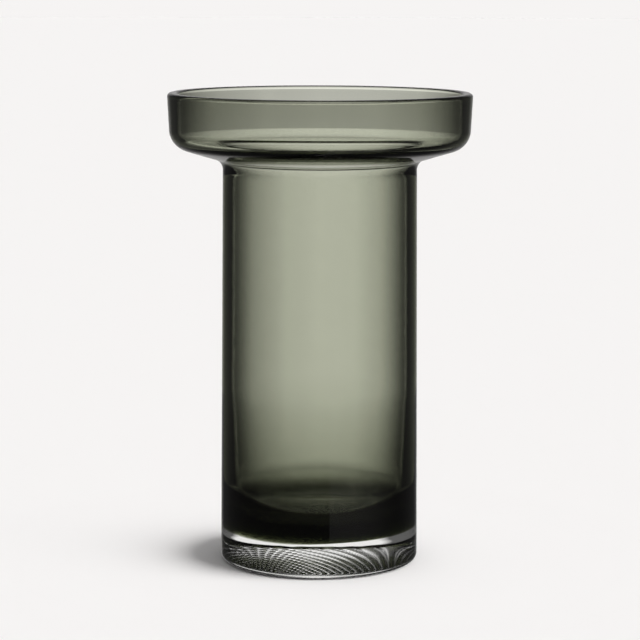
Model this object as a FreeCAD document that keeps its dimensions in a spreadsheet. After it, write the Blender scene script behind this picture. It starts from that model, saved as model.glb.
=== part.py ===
import FreeCAD, Part
import math
import os
import Sketcher

# Collared glass cylinder vase: a smoke-green blown vessel fused onto a thick foot of clear glass.
#
# Frame: millimetres, +Z up, origin at the centre of the foot's resting plane. Both pieces are turned
# about Z: each is a PartDesign body made of a half section of straight runs, revolved, whose circular
# edges are then rounded. Every size is a cell of the Dimensions sheet.

DOCUMENT_NAME = "collared_vase"
SHEET_NAME = "Dimensions"
OUTPUT_FOLDER = "parts"
FULL_TURN = 360.0  # degrees
ON_CORNER = 0.02  # mm: an edge nearer than this to a corner of the section is that corner's edge

# Alias, value, meaning. Lengths are in mm and angles in degrees.
DIMENSIONS = (
    ("overall_height", 245.0, "rim above the table"),
    ("rim_radius", 78.8, "collar, outer radius at the rim"),
    ("collar_radius", 77.4, "collar, outer radius where its wall would meet the shoulder"),
    ("neck_radius", 50.2, "cylinder, outer radius under the shoulder"),
    ("foot_radius", 51.7, "cylinder, outer radius at the table"),
    ("shoulder_height", 209.7, "where the shoulder's underside would meet the cylinder"),
    ("shoulder_angle", 16.6, "rise of the shoulder's underside"),
    ("rim_wall", 5.25, "glass of the collar at the rim"),
    ("collar_wall", 4.2, "glass of the collar where its inner wall would meet the dish floor"),
    ("tube_wall", 5.0, "glass of the cylinder"),
    ("shoulder_thickness", 3.8, "glass of the shoulder, measured upright at the bore"),
    ("dish_angle", 15.5, "rise of the dish floor inside the collar"),
    ("taper_height", 90.0, "where the bore starts to close in, very slightly, towards the floor"),
    ("heel_radius", 43.7, "where the closing bore would meet the floor"),
    ("floor_height", 24.6, "inside floor above the table"),
    ("colour_height", 19.4, "where the coloured glass meets the clear foot, at the side"),
    ("colour_dip", 5.0, "how far the coloured glass bulges down into the foot"),
    ("dip_radius", 20.0, "flat middle of that bulge, unrounded"),
    ("lip_outer_round", 2.0, "rim, outer edge"),
    ("lip_inner_round", 1.7, "rim, inner edge"),
    ("collar_outer_round", 11.1, "collar, outer lower corner"),
    ("collar_inner_round", 6.0, "collar, inner lower corner"),
    ("neck_outer_round", 5.9, "hollow corner under the shoulder"),
    ("neck_inner_round", 15.5, "edge where the dish floor drops into the bore"),
    ("heel_round", 18.5, "bore, inside bottom corner"),
    ("dip_round", 120.0, "blend from the bulge's flat middle to its sloping ring"),
    ("foot_edge_round", 3.8, "foot, outer bottom edge"),
)


def make_document():
    if DOCUMENT_NAME in FreeCAD.listDocuments():
        FreeCAD.closeDocument(DOCUMENT_NAME)
    return FreeCAD.newDocument(DOCUMENT_NAME)


def fill_sheet(document):
    sheet = document.addObject("Spreadsheet::Sheet", SHEET_NAME)
    for row, (alias, value, meaning) in enumerate(DIMENSIONS, start=1):
        sheet.set(f"A{row}", str(value))
        sheet.setAlias(f"A{row}", alias)
        sheet.set(f"B{row}", meaning)
    document.recompute()


def from_sheet(formula):
    """A formula whose [alias] words are pointed at the sheet's cells."""
    return formula.replace("[", SHEET_NAME + ".").replace("]", "")


def value_of(document, formula):
    return float(document.getObject(SHEET_NAME).evalExpression(from_sheet(formula)))


def side_at(height):
    """Formula of the cylinder's outer radius at a height: one very slight cone, neck to table."""
    return f"([foot_radius] + ([neck_radius] - [foot_radius]) * {height} / [shoulder_height])"


def origin_feature(body, role):
    return next(feature for feature in body.Origin.OriginFeatures if feature.Role == role)


def hold(sketch, kind, line, value, formula):
    """Ties a line's start to the origin by its distance along X or Y. A point on an axis is put on that
    axis instead, because a distance of nothing has no direction."""
    if abs(value) < ON_CORNER:
        other_axis = -2 if kind == "DistanceX" else -1
        sketch.addConstraint(Sketcher.Constraint("PointOnObject", line, 1, other_axis))
        return
    number = sketch.addConstraint(Sketcher.Constraint(kind, -1, 1, line, 1, value))
    sketch.setExpression(f"Constraints[{number}]", from_sheet(formula))


def draw_section(document, body, corners):
    """Draws a closed half section through its corners, each (radius formula, height formula), on the
    body's own XZ plane. Returns the sketch and the corners as points."""
    sketch = body.newObject("Sketcher::SketchObject", body.Name + "_section")
    sketch.AttachmentSupport = [(origin_feature(body, "XZ_Plane"), "")]
    sketch.MapMode = "FlatFace"
    points = [FreeCAD.Vector(value_of(document, x), value_of(document, y), 0) for x, y in corners]
    followers = points[1:] + points[:1]
    for start, end in zip(points, followers):
        sketch.addGeometry(Part.LineSegment(start, end), False)
    for line in range(len(points)):
        sketch.addConstraint(Sketcher.Constraint("Coincident", line, 2, (line + 1) % len(points), 1))
    for line, (radius, height) in enumerate(corners):
        hold(sketch, "DistanceX", line, points[line].x, radius)
        hold(sketch, "DistanceY", line, points[line].y, height)
    return sketch, points


def turn(document, body, sketch):
    turned = body.newObject("PartDesign::Revolution", body.Name + "_turned")
    turned.Profile = sketch
    turned.ReferenceAxis = (origin_feature(body, "Z_Axis"), [""])
    turned.Angle = FULL_TURN
    document.recompute()


def passes(edge, corner):
    """True for the circular edge that a corner of the section draws when it is turned."""
    if not isinstance(edge.Curve, Part.Circle):
        return False
    return math.hypot(edge.Curve.Radius - corner.x, edge.Curve.Center.z - corner.y) < ON_CORNER


def round_edge(document, body, corner, alias):
    base = body.Tip
    names = [f"Edge{i}" for i, edge in enumerate(base.Shape.Edges, start=1) if passes(edge, corner)]
    if len(names) != 1:
        raise RuntimeError(f"{alias}: {len(names)} edges lie on its corner")
    fillet = body.newObject("PartDesign::Fillet", alias)
    fillet.Base = (base, names)
    fillet.setExpression("Radius", from_sheet(f"[{alias}]"))
    document.recompute()


def make_body(document, name, corners, rounds):
    """A turned piece. rounds gives the number of each corner that is rounded, and its radius's alias."""
    body = document.addObject("PartDesign::Body", name)
    body.Label = name
    document.recompute()
    sketch, points = draw_section(document, body, corners)
    turn(document, body, sketch)
    for corner, alias in rounds:
        round_edge(document, body, points[corner], alias)
    body.Placement = FreeCAD.Placement()
    return body


def make_vessel(document):
    """The coloured glass, one blown piece: collar, shoulder, cylinder wall and inside floor."""
    shoulder_end = "[shoulder_height] + ([collar_radius] - [neck_radius]) * tan([shoulder_angle])"
    bore_top = "([neck_radius] - [tube_wall])"
    bore_edge = "[shoulder_height] + [shoulder_thickness]"
    dish_radius = "([collar_radius] - [collar_wall])"
    dish_rise = f"({dish_radius} - {bore_top}) * tan([dish_angle])"
    corners = (
        ("0", "[colour_height] - [colour_dip]"),
        ("[dip_radius]", "[colour_height] - [colour_dip]"),
        (side_at("[colour_height]"), "[colour_height]"),
        ("[neck_radius]", "[shoulder_height]"),
        ("[collar_radius]", shoulder_end),
        ("[rim_radius]", "[overall_height]"),
        ("[rim_radius] - [rim_wall]", "[overall_height]"),
        (dish_radius, f"{bore_edge} + {dish_rise}"),
        (bore_top, bore_edge),
        (side_at("[taper_height]") + " - [tube_wall]", "[taper_height]"),
        ("[heel_radius]", "[floor_height]"),
        ("0", "[floor_height]"),
    )
    rounds = (
        (1, "dip_round"),
        (3, "neck_outer_round"),
        (4, "collar_outer_round"),
        (5, "lip_outer_round"),
        (6, "lip_inner_round"),
        (7, "collar_inner_round"),
        (8, "neck_inner_round"),
        (10, "heel_round"),
    )
    return make_body(document, "coloured_vessel", corners, rounds)


def make_foot(document):
    """The clear glass under it: a thick disc that carries the cylinder's side down to the table. Its top
    is dished where the coloured glass bulges into it."""
    corners = (
        ("0", "0"),
        ("[foot_radius]", "0"),
        (side_at("[colour_height]"), "[colour_height]"),
        ("[dip_radius]", "[colour_height] - [colour_dip]"),
        ("0", "[colour_height] - [colour_dip]"),
    )
    rounds = (
        (1, "foot_edge_round"),
        (3, "dip_round"),
    )
    return make_body(document, "clear_foot", corners, rounds)


def check(document, bodies):
    """A recompute can leave a feature failed without raising, so every object is asked."""
    for item in document.Objects:
        if "Invalid" in item.State or "Error" in item.State:
            raise RuntimeError(f"{item.Label} is {item.State}")
    for body in bodies:
        if body.Shape.isNull() or not body.Shape.isValid() or len(body.Shape.Solids) != 1:
            raise RuntimeError(f"{body.Label} isn't one valid solid")
    shared = bodies[0].Shape.common(bodies[1].Shape).Volume
    if shared > ON_CORNER:
        raise RuntimeError(f"the two pieces overlap by {shared:.3f} mm3")


def export(bodies):
    os.makedirs(OUTPUT_FOLDER, exist_ok=True)
    for body in bodies:
        body.Shape.exportStep(f"{OUTPUT_FOLDER}/{body.Label}.step")
        print(f"{body.Label}: {body.Shape.Volume / 1000:.1f} cm3, {len(body.Shape.Faces)} faces")


def main():
    document = make_document()
    fill_sheet(document)
    bodies = (make_vessel(document), make_foot(document))
    check(document, bodies)
    export(bodies)


main()
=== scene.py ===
import bpy
import math
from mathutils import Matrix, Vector


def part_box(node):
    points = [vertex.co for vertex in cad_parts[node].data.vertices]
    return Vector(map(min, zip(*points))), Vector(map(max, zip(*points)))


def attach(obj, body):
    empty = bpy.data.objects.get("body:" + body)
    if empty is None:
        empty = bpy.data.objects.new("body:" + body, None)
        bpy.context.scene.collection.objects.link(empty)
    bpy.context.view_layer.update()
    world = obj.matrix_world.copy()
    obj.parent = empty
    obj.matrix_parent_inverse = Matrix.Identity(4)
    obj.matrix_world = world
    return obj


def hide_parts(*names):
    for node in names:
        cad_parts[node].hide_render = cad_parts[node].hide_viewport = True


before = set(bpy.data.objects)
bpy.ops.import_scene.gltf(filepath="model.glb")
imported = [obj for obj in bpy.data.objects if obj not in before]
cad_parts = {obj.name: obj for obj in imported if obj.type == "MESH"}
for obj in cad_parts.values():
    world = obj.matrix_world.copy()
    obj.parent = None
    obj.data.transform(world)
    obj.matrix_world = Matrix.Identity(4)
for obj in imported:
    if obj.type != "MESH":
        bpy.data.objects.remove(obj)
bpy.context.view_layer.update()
mm = 0.001
mergeWithin = 0.004 * mm
smoothAngle = math.radians(50)
fewestArcSteps = 3
print("frame loaded:", ", ".join(sorted(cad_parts)))


def hexToLinear(code):
    channels = [int(code[i:i + 2], 16) / 255 for i in (0, 2, 4)]
    linear = [c / 12.92 if c <= 0.04045 else ((c + 0.055) / 1.055) ** 2.4 for c in channels]
    return (*linear, 1.0)


def addNode(tree, kind, settings=None, links=None):
    # settings: a property, or a socket's name or number, to its value
    # links: a socket's name or number to the output, or the node whose first output, feeds it
    node = tree.nodes.new(kind)
    for key, value in (settings or {}).items():
        if isinstance(key, str) and hasattr(node, key):
            setattr(node, key, value)
        else:
            node.inputs[key].default_value = value
    for key, source in (links or {}).items():
        output = source.outputs[0] if isinstance(source, bpy.types.Node) else source
        tree.links.new(output, node.inputs[key])
    return node


def newMaterial(name):
    material = bpy.data.materials.new(name)
    material.use_nodes = True
    material.node_tree.nodes.clear()
    return material, material.node_tree


def extrudeTo(here, there, longestStep):
    # carries the outline's last point along a straight run, in even steps
    steps = max(1, math.ceil((there - here).length / longestStep))
    for _ in range(steps):
        bpy.ops.mesh.extrude_region_move(TRANSFORM_OT_translate={"value": (there - here) / steps})


def roundCorner(before, corner, after, radius):
    # where a rounding starts and ends, its centre, how far it turns and which way
    toBefore = (before - corner).normalized()
    toAfter = (after - corner).normalized()
    halfOpening = toBefore.angle(toAfter) / 2
    reach = radius / math.tan(halfOpening)
    centre = corner + (toBefore + toAfter).normalized() * radius / math.sin(halfOpening)
    side = 1 if toBefore.cross(toAfter).y > 0 else -1
    return corner + toBefore * reach, corner + toAfter * reach, centre, math.pi - 2 * halfOpening, side


def drawOutline(name, corners, arcStep):
    # corners run from the axis and back to it: radius, height, rounding and the longest step on the way
    # there, in mm
    points = [Vector((corner[0], 0, corner[1])) * mm for corner in corners]
    bpy.ops.object.select_all(action="DESELECT")
    bpy.ops.mesh.primitive_plane_add(size=mm)
    piece = bpy.context.object
    piece.name = name
    piece.data.name = name
    bpy.ops.object.mode_set(mode="EDIT")
    bpy.ops.mesh.merge(type="CENTER")
    bpy.ops.transform.translate(value=points[0])
    here = points[0]
    for i in range(1, len(points) - 1):
        rounding = corners[i][2] * mm
        longestStep = corners[i][3] * mm
        if rounding == 0:
            extrudeTo(here, points[i], longestStep)
            here = points[i]
            continue
        start, end, centre, turn, side = roundCorner(points[i - 1], points[i], points[i + 1], rounding)
        extrudeTo(here, start, longestStep)
        steps = max(fewestArcSteps, math.ceil(turn / arcStep))
        bpy.ops.mesh.spin(steps=steps, angle=turn, center=centre, axis=(0, side, 0))
        here = end
    extrudeTo(here, points[-1], corners[-1][3] * mm)
    return piece


def turnOutline(piece, roundSteps):
    # a full turn about Z, closed at the seam and at both poles
    bpy.ops.mesh.select_all(action="SELECT")
    bpy.ops.mesh.spin(steps=roundSteps, angle=math.tau, center=(0, 0, 0), axis=(0, 0, 1))
    bpy.ops.mesh.select_all(action="SELECT")
    bpy.ops.mesh.remove_doubles(threshold=mergeWithin)
    bpy.ops.mesh.normals_make_consistent(inside=False)
    bpy.ops.object.mode_set(mode="OBJECT")


def smoothFaces(piece):
    bpy.ops.object.select_all(action="DESELECT")
    piece.select_set(True)
    bpy.context.view_layer.objects.active = piece
    bpy.ops.object.shade_smooth_by_angle(angle=smoothAngle)


vesselLow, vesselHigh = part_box("coloured_vessel")
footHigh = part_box("clear_foot")[1]

# coloured vessel, in mm and degrees
body = {
    "rimHeight": vesselHigh.z / mm,
    "rimRadius": 78.8,
    "neckRadius": 50.2,
    "shoulderHeight": 209.7,
    "shoulderAngle": 16.6,
    "collarRadius": 77.4,
    "rimWall": 5.25,
    "collarWall": 4.2,
    "tubeWall": 5.0,
    "shoulderThickness": 3.8,
    "dishAngle": 15.5,
    "taperHeight": 90.0,
    "heelRadius": 43.7,
    "floorHeight": 24.6,
    "neckRound": 5.9,
    "collarRound": 11.1,
    "lipOuterRound": 2.0,
    "lipInnerRound": 1.7,
    "dishRound": 6.0,
    "boreRound": 15.5,
    "taperRound": 150.0,
    "heelRound": 18.5,
    "longestStep": 6.0,
    "arcStep": 4.0,
    "roundSteps": 256,
    "gap": 0.02,            # the vessel's seam stands this far above the foot's
}

# clear foot, in mm and degrees
foot = {
    "radius": 51.7,
    "seamHeight": footHigh.z / mm,
    "seamDip": (footHigh.z - vesselLow.z) / mm,
    "dipRadius": 20.0,
    "dipRound": 120.0,
    "sink": 1.2,            # how far the seam's rim sinks on the left
    "sinkFrom": 18.0,       # where it starts to, left of this
    "sinkWidth": 40.0,      # and how far across it takes
    "edgeRound": 3.8,
    "latticePitch": 3.16,   # between rows of the pressed lattice
    "latticeTurn": 17.0,    # how it happens to lie
    "latticeDepth": 0.7,
    "latticeTop": 1.8,      # how far up the rounded edge it runs out
    "baseStep": 0.55,
    "topStep": 3.0,
    "arcStep": 8.0,
    "roundSteps": 520,
}


def sideAt(height):
    # the cylinder's side narrows a little on the way up
    return foot["radius"] + (body["neckRadius"] - foot["radius"]) * height / body["shoulderHeight"]


def markFused(piece, isFused):
    # 1 on the faces where the two glasses are melted together, which the glass materials read
    mark = piece.data.attributes.new("fused", "FLOAT", "FACE")
    mark.data.foreach_set("value", [1.0 if isFused(face) else 0.0 for face in piece.data.polygons])


def sinkSeam(piece):
    # the seam isn't quite level: its rim sinks a little towards one side, over the bulge
    seam = foot["seamHeight"] + 2 * body["gap"]
    bulge = foot["seamHeight"] - foot["seamDip"] + 2 * body["gap"]
    for vertex in piece.data.vertices:
        height = vertex.co.z / mm
        if bulge < height < seam:
            across = min(1.0, max(0.0, (foot["sinkFrom"] - vertex.co.x / mm) / foot["sinkWidth"]))
            rimShare = (height - bulge) / (seam - bulge)
            vertex.co.z -= foot["sink"] * across ** 2 * (3 - 2 * across) * rimShare * mm


def makeVessel():
    step = body["longestStep"]
    bore = body["neckRadius"] - body["tubeWall"]
    dish = body["collarRadius"] - body["collarWall"]
    boreEdge = body["shoulderHeight"] + body["shoulderThickness"]
    shoulderSlope = math.tan(math.radians(body["shoulderAngle"]))
    shoulderRise = shoulderSlope * (body["collarRadius"] - body["neckRadius"])
    dishRise = math.tan(math.radians(body["dishAngle"])) * (dish - bore)
    seam = foot["seamHeight"] + body["gap"]
    rimInside = body["rimRadius"] - body["rimWall"]
    taperInside = sideAt(body["taperHeight"]) - body["tubeWall"]
    corners = (
        (0, seam - foot["seamDip"], 0, step),
        (foot["dipRadius"], seam - foot["seamDip"], foot["dipRound"], step),
        (sideAt(seam), seam, 0, step),
        (body["neckRadius"], body["shoulderHeight"], body["neckRound"], step),
        (body["collarRadius"], body["shoulderHeight"] + shoulderRise, body["collarRound"], step),
        (body["rimRadius"], body["rimHeight"], body["lipOuterRound"], step),
        (rimInside, body["rimHeight"], body["lipInnerRound"], step),
        (dish, boreEdge + dishRise, body["dishRound"], step),
        (bore, boreEdge, body["boreRound"], step),
        (taperInside, body["taperHeight"], body["taperRound"], step),
        (body["heelRadius"], body["floorHeight"], body["heelRound"], step),
        (0, body["floorHeight"], 0, step),
    )
    piece = drawOutline("vessel", corners, math.radians(body["arcStep"]))
    turnOutline(piece, body["roundSteps"])
    justBelow = (seam - body["gap"] / 4) * mm
    markFused(piece, lambda face: face.center.z < justBelow)
    sinkSeam(piece)
    smoothFaces(piece)
    return piece


vessel = makeVessel()
print("vessel turned:", len(vessel.data.polygons), "faces")


def latticeHeight(x, y):
    # three waves 60 degrees apart make rows of round bosses that stand on the table; their sum runs from
    # crest down to crest - span
    crest = 3
    span = 4.5
    total = 0
    for turn in (0, 60, 120):
        angle = math.radians(foot["latticeTurn"] + turn)
        along = x * math.cos(angle) + y * math.sin(angle)
        total += math.cos(along * math.tau / foot["latticePitch"])
    return foot["latticeDepth"] * (crest - total) / span


def makeFoot():
    seam = foot["seamHeight"]
    corners = (
        (0, 0, 0, foot["baseStep"]),
        (foot["radius"], 0, foot["edgeRound"], foot["baseStep"]),
        (sideAt(seam), seam, 0, foot["topStep"]),
        (foot["dipRadius"], seam - foot["seamDip"], foot["dipRound"], foot["topStep"]),
        (0, seam - foot["seamDip"], 0, foot["topStep"]),
    )
    piece = drawOutline("foot", corners, math.radians(foot["arcStep"]))
    turnOutline(piece, foot["roundSteps"])
    top = foot["latticeTop"]
    for vertex in piece.data.vertices:
        height = vertex.co.z / mm
        if height < top:
            fade = (1 - height / top) ** 2
            vertex.co.z += latticeHeight(vertex.co.x / mm, vertex.co.y / mm) * fade * mm
    # the fused faces are those from the bulge's floor up that don't belong to the side
    below = 0.01
    inside = 0.1
    lowest = (seam - foot["seamDip"] - below) * mm
    widest = (sideAt(seam) - inside) * mm
    markFused(piece, lambda face: face.center.z > lowest and face.center.xy.length < widest)
    sinkSeam(piece)
    smoothFaces(piece)
    return piece


clearFoot = makeFoot()
print("foot turned:", len(clearFoot.data.polygons), "faces")

glass = {
    "ior": 1.5,
    "smoke": "adb29a",       # the tint; a metre of glass soaks up the density times what the tint lacks
    "smokeDensity": 200.0,
    "clear": "f4f7f5",
    "clearDensity": 4.0,
    "waveScale": 26.0,       # waves per metre across
    "waveStretch": 0.12,     # and how much longer they run upward
    "waveHeight": 0.03,      # mm
}


def addGlass(tree, colour, density, stretch):
    # bare glass bends light, but nothing bends where two glasses are melted together, so there the index
    # falls to that of air
    mark = addNode(tree, "ShaderNodeAttribute", {"attribute_name": "fused"})
    bend = {"operation": "MULTIPLY_ADD", 1: 1.0 - glass["ior"], 2: glass["ior"]}
    index = addNode(tree, "ShaderNodeMath", bend, {0: mark.outputs["Fac"]})
    # long shallow waves drawn out while the glass was soft; the eye catches them as faint upright streaks
    place = addNode(tree, "ShaderNodeTexCoord")
    drawn = addNode(tree, "ShaderNodeMapping", {"Scale": (1.0, 1.0, stretch)}, {0: place.outputs["Object"]})
    wave = addNode(tree, "ShaderNodeTexNoise", {"Scale": glass["waveScale"], "Detail": 1.0}, {0: drawn})
    relief = {"Strength": 1.0, "Distance": glass["waveHeight"] * mm}
    bump = addNode(tree, "ShaderNodeBump", relief, {"Height": wave})
    polished = {"Roughness": 0.0, "Transmission Weight": 1.0, "Base Color": hexToLinear("ffffff")}
    surface = addNode(tree, "ShaderNodeBsdfPrincipled", polished, {"IOR": index, "Normal": bump})
    tint = addNode(tree, "ShaderNodeVolumeAbsorption", {"Color": hexToLinear(colour), "Density": density})
    addNode(tree, "ShaderNodeOutputMaterial", None, {"Surface": surface, "Volume": tint})


def smokeGreenGlass():
    # Blown soda-lime glass coloured all through, then fire polished: thin walls stay sage green, the thick
    # shoulder and base go nearly black, and the skin is mirror smooth.
    material, tree = newMaterial("smoke_green_blown_glass")
    addGlass(tree, glass["smoke"], glass["smokeDensity"], glass["waveStretch"])
    return material


def clearGlass():
    # Clear soda-lime glass, pressed on a lattice plate underneath and fire polished at the side: a bright
    # band under the colour and a sharp zebra where the lattice bends the light away.
    material, tree = newMaterial("clear_pressed_glass")
    addGlass(tree, glass["clear"], glass["clearDensity"], 1.0)
    return material


vessel.data.materials.append(smokeGreenGlass())
clearFoot.data.materials.append(clearGlass())
print("glass mixed")

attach(vessel, "root")
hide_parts("coloured_vessel")
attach(clearFoot, "root")
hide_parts("clear_foot")

# light is 1 where it is as bright as the backdrop, lengths are in mm, and directions are degrees clockwise
# from straight behind
studio = {
    "white": "f6f4f3",
    "floorRadius": 14000.0,
    "roundSteps": 96,
    # each panel's middle and strength, then the elevations where it fades in and where it fades out
    "backlights": (
        (1, 1.0, (-40.0, -8.5), (90, 91)),
        (-90, 0.85, (-20.0, -11.0), (90, 91)),
        (90, 0.3, (-20.0, -11.0), (90, 91)),
        (135, 1.0, (-40.0, -8.5), (90, 91)),
        (-45, 1.0, (-60.0, -50.0), (-25, -19)),
        (180, 0.3, (-20.0, -11.0), (90, 91)),
    ),
    "glowWidth": 11.0,                  # from a panel's middle to where it is clearly dimmer
    "glowTail": -1.5,                   # the power it goes on dimming with
    "backlight": 1.69,                  # the panels' light low down
    "upperLight": 0.94,                 # and higher up
    "upperFade": (-4.15, -2.5),
    "overhead": 0.62,                   # the ceiling's light
    "overheadFade": (22, 40),
    "ambient": 0.35,                    # what reaches the floor besides the key light
    "mirrored": 0.06,                   # what the glass mirrors of the dark room
    "softbox": 0.22,                    # and of the softbox at the front right
    "softboxEdge": (11.6, 12.6),
    "softboxFade": (40, 107),
    "mirroredBehind": 0.5,              # and of the backdrop, at a grazing look
    "behindFade": (150, 180),
    "tableRadius": 130.0,
    "tableShade": (66.0, 110.0),        # from here to here the lit table rises
    "tableNear": 0.22,                  # from this
    "tableFar": 1.1,                    # to this
    "tableGlow": 55.0,                  # how far to the side it is clearly dimmer
    "tableDrop": 0.4,
    "underFoot": 0.4,                   # how much of it is left right under the foot
    "underFootShade": (46.0, 54.0),
    "stripSize": (40.0, 5.4),
    "stripBehind": 54.5,
    "stripTurn": -8.5,
    "stripSpread": (0.19, 0.28),        # how far aslant the grid starts to cut its light, and cuts it off
    "stripDim": 0.13,
    "keyDirection": (1.0, -0.42, 0.5),
    "keyAngle": 50.0,
}


def addDisc(name, radius):
    bpy.ops.object.select_all(action="DESELECT")
    bpy.ops.mesh.primitive_circle_add(vertices=studio["roundSteps"], radius=radius, fill_type="NGON")
    disc = bpy.context.object
    disc.name = name
    return disc


def makeFloor():
    floor = addDisc("studio_floor", studio["floorRadius"] * mm)
    floor.visible_transmission = False
    floor.visible_glossy = False
    material, tree = newMaterial("matt_white_paper")
    paper = addNode(tree, "ShaderNodeBsdfDiffuse", {"Color": hexToLinear(studio["white"])})
    addNode(tree, "ShaderNodeOutputMaterial", None, {"Surface": paper})
    floor.data.materials.append(material)


def makeWorld():
    world = bpy.data.worlds.new("soft_studio")
    bpy.context.scene.world = world
    world.use_nodes = True
    tree = world.node_tree
    tree.nodes.clear()
    place = addNode(tree, "ShaderNodeTexCoord")
    x, y, z = addNode(tree, "ShaderNodeSeparateXYZ", None, {0: place.outputs["Generated"]}).outputs
    azimuth = addNode(tree, "ShaderNodeMath", {"operation": "ARCTAN2"}, {0: x, 1: y})
    elevation = addNode(tree, "ShaderNodeMath", {"operation": "ARCSINE"}, {0: z})
    smooth = {"interpolation_type": "SMOOTHSTEP"}

    # upright glowing panels, bright in the middle, that light the glass from behind and from the sides
    light = None
    for middle, strength, fadeIn, fadeOut in studio["backlights"]:
        turned = addNode(tree, "ShaderNodeMath", {1: math.tau * 2 - math.radians(middle)}, {0: azimuth})
        away = addNode(tree, "ShaderNodeMath", {"operation": "PINGPONG", 1: math.pi}, {0: turned})
        width = math.radians(studio["glowWidth"])
        share = addNode(tree, "ShaderNodeMath", {"operation": "DIVIDE", 1: width}, {0: away})
        spread = addNode(tree, "ShaderNodeMath", {"operation": "MULTIPLY_ADD", 2: 1.0}, {0: share, 1: share})
        glow = addNode(tree, "ShaderNodeMath", {"operation": "POWER", 1: studio["glowTail"]}, {0: spread})
        rise = dict(smooth, **{"From Min": math.radians(fadeIn[0]), "From Max": math.radians(fadeIn[1])})
        above = addNode(tree, "ShaderNodeMapRange", dict(rise, **{"To Max": strength}), {0: elevation})
        fall = dict(smooth, **{"From Min": math.radians(fadeOut[0]), "From Max": math.radians(fadeOut[1])})
        fall.update({"To Min": 1.0, "To Max": 0.0})
        below = addNode(tree, "ShaderNodeMapRange", fall, {0: elevation})
        band = addNode(tree, "ShaderNodeMath", {"operation": "MULTIPLY"}, {0: above, 1: below})
        panel = addNode(tree, "ShaderNodeMath", {"operation": "MULTIPLY"}, {0: glow, 1: band})
        light = panel if light is None else addNode(tree, "ShaderNodeMath", None, {0: light, 1: panel})
    low, high = [math.radians(angle) for angle in studio["upperFade"]]
    dimming = {"From Min": low, "From Max": high}
    dimming.update({"To Min": studio["backlight"], "To Max": studio["upperLight"]})
    dim = addNode(tree, "ShaderNodeMapRange", dict(smooth, **dimming), {0: elevation})
    light = addNode(tree, "ShaderNodeMath", {"operation": "MULTIPLY"}, {0: light, 1: dim})
    low, high = [math.radians(angle) for angle in studio["overheadFade"]]
    ceiling = {"From Min": low, "From Max": high, "To Max": studio["overhead"]}
    overhead = addNode(tree, "ShaderNodeMapRange", dict(smooth, **ceiling), {0: elevation})
    light = addNode(tree, "ShaderNodeMath", None, {0: light, 1: overhead})

    # what the skin of the glass mirrors: a dark room, a softbox at the front right and the backdrop's edge
    flip = addNode(tree, "ShaderNodeMath", {"operation": "MULTIPLY", 1: -1.0}, {0: y})
    heading = addNode(tree, "ShaderNodeMath", {"operation": "ARCTAN2"}, {0: x, 1: flip})
    low, high = [math.radians(angle) for angle in studio["softboxEdge"]]
    rising = {"From Min": low, "From Max": high}
    edge = addNode(tree, "ShaderNodeMapRange", dict(smooth, **rising), {0: heading})
    low, high = [math.radians(angle) for angle in studio["softboxFade"]]
    soft = {"From Min": low, "From Max": high, "To Max": 0.0}
    soft["To Min"] = studio["softbox"] - studio["mirrored"]
    falling = addNode(tree, "ShaderNodeMapRange", dict(smooth, **soft), {0: heading})
    softbox = addNode(tree, "ShaderNodeMath", {"operation": "MULTIPLY"}, {0: edge, 1: falling})
    aside = addNode(tree, "ShaderNodeMath", {"operation": "ABSOLUTE"}, {0: heading})
    low, high = [math.radians(angle) for angle in studio["behindFade"]]
    back = {"From Min": low, "From Max": high}
    back.update({"To Min": studio["mirrored"], "To Max": studio["mirroredBehind"]})
    behind = addNode(tree, "ShaderNodeMapRange", dict(smooth, **back), {0: aside})
    mirror = addNode(tree, "ShaderNodeMath", None, {0: softbox, 1: behind})

    white = hexToLinear(studio["white"])
    path = addNode(tree, "ShaderNodeLightPath")
    seen = addNode(tree, "ShaderNodeBackground", {"Color": white, "Strength": 1.0})
    plain = {"Color": hexToLinear("ffffff"), "Strength": studio["ambient"]}
    ambient = addNode(tree, "ShaderNodeBackground", plain)
    through = addNode(tree, "ShaderNodeBackground", {"Color": white}, {"Strength": light})
    mirrored = addNode(tree, "ShaderNodeBackground", {"Color": white}, {"Strength": mirror})
    mixes = ((path.outputs["Is Glossy Ray"], mirrored), (path.outputs["Is Transmission Ray"], through),
             (path.outputs["Is Camera Ray"], seen))
    final = ambient
    for ray, background in mixes:
        final = addNode(tree, "ShaderNodeMixShader", None, {0: ray, 1: final, 2: background})
    addNode(tree, "ShaderNodeOutputWorld", None, {0: final})


def hideFromAllButGlass(thing):
    thing.visible_camera = False
    thing.visible_diffuse = False
    thing.visible_glossy = False
    thing.visible_shadow = False


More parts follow.
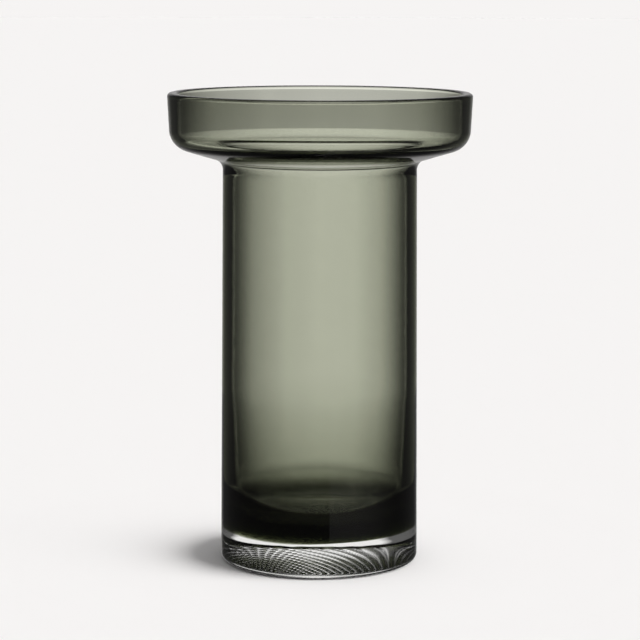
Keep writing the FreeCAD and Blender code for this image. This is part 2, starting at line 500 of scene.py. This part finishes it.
def makeTable():
    # the lit table top round the foot, which only the glass sees
    table = addDisc("lit_table", studio["tableRadius"] * mm)
    table.location.z = -studio["tableDrop"] * mm
    hideFromAllButGlass(table)
    material, tree = newMaterial("lit_white_paper")
    place = addNode(tree, "ShaderNodeTexCoord")
    reach = addNode(tree, "ShaderNodeVectorMath", {"operation": "LENGTH"}, {0: place.outputs["Object"]})
    near, far = [edge * mm for edge in studio["tableShade"]]
    levels = {"From Min": near, "From Max": far, "To Min": studio["tableNear"], "To Max": studio["tableFar"]}
    levels["interpolation_type"] = "SMOOTHSTEP"
    bright = addNode(tree, "ShaderNodeMapRange", levels, {0: reach.outputs["Value"]})
    near, far = [edge * mm for edge in studio["underFootShade"]]
    levels = {"From Min": near, "From Max": far, "To Min": studio["underFoot"], "To Max": 1.0}
    shade = addNode(tree, "ShaderNodeMapRange", levels, {0: reach.outputs["Value"]})
    bright = addNode(tree, "ShaderNodeMath", {"operation": "MULTIPLY"}, {0: bright, 1: shade})
    across = addNode(tree, "ShaderNodeSeparateXYZ", None, {0: place.outputs["Object"]})
    width = studio["tableGlow"] * mm
    share = addNode(tree, "ShaderNodeMath", {"operation": "DIVIDE", 1: width}, {0: across})
    spread = addNode(tree, "ShaderNodeMath", {"operation": "MULTIPLY_ADD", 2: 1.0}, {0: share, 1: share})
    glow = addNode(tree, "ShaderNodeMath", {"operation": "POWER", 1: studio["glowTail"]}, {0: spread})
    light = addNode(tree, "ShaderNodeMath", {"operation": "MULTIPLY"}, {0: bright, 1: glow})
    paper = addNode(tree, "ShaderNodeEmission", {"Color": hexToLinear(studio["white"])}, {"Strength": light})
    addNode(tree, "ShaderNodeOutputMaterial", None, {"Surface": paper})
    table.data.materials.append(material)


def makeStrip():
    # a low grid-fronted strip light standing close behind the foot, which only the glass sees
    width, height = studio["stripSize"]
    bpy.ops.object.select_all(action="DESELECT")
    bpy.ops.mesh.primitive_plane_add(size=mm)
    strip = bpy.context.object
    strip.name = "foot_strip"
    strip.scale = (width, height, 1)
    strip.rotation_euler = (math.radians(90), 0, math.radians(studio["stripTurn"]))
    strip.location = (0, studio["stripBehind"] * mm, height * mm / 2)
    hideFromAllButGlass(strip)
    material, tree = newMaterial("lit_grid")
    aside = addNode(tree, "ShaderNodeLayerWeight")
    near, far = studio["stripSpread"]
    levels = {"From Min": near, "From Max": far, "To Min": 1.0, "To Max": studio["stripDim"]}
    beam = addNode(tree, "ShaderNodeMapRange", levels, {0: aside.outputs["Facing"]})
    glow = addNode(tree, "ShaderNodeEmission", {"Color": hexToLinear(studio["white"])}, {"Strength": beam})
    addNode(tree, "ShaderNodeOutputMaterial", None, {"Surface": glow})
    strip.data.materials.append(material)


def makeKeyLight():
    # a big soft source, low on the right; with the ambient light it brings the floor up to the backdrop
    direction = Vector(studio["keyDirection"]).normalized()
    bpy.ops.object.light_add(type="SUN", location=direction)
    key = bpy.context.object
    key.name = "key_softbox"
    key.data.energy = (1 - studio["ambient"]) * math.pi / direction.z
    key.data.angle = math.radians(studio["keyAngle"])
    key.rotation_euler = direction.to_track_quat("Z", "Y").to_euler()
    key.visible_glossy = False
    key.visible_transmission = False


# a long lens, level with a point above the rim and tipped down to the middle of the vase, in mm and degrees
view = {
    "lens": 136.1,
    "sensor": 36.0,
    "aside": 0.26,
    "back": 1250.0,
    "height": 308.6,
    "tip": 8.285,
    "roll": 0.15,
    "clipEnd": 60000.0,
}


def makeCamera():
    data = bpy.data.cameras.new("camera")
    camera = bpy.data.objects.new("camera", data)
    bpy.context.scene.collection.objects.link(camera)
    data.lens = view["lens"]
    data.sensor_width = view["sensor"]
    data.clip_end = view["clipEnd"] * mm
    camera.location = (view["aside"] * mm, -view["back"] * mm, view["height"] * mm)
    camera.rotation_euler = (math.radians(90 - view["tip"]), 0, 0)
    camera.rotation_euler.rotate_axis("Z", math.radians(view["roll"]))
    bpy.context.scene.camera = camera


makeFloor()
makeWorld()
makeTable()
makeStrip()
makeKeyLight()
makeCamera()

# the coloured glass lets the key light through, so only the thick foot shades the floor
vessel.visible_shadow = False
vessel.visible_diffuse = False

scene = bpy.context.scene
scene.view_settings.view_transform = "Standard"
bounces = 32
scene.cycles.max_bounces = bounces
scene.cycles.transmission_bounces = bounces
scene.cycles.glossy_bounces = bounces
scene.cycles.transparent_max_bounces = bounces
scene.cycles.caustics_refractive = False
scene.cycles.caustics_reflective = False
print("studio ready")
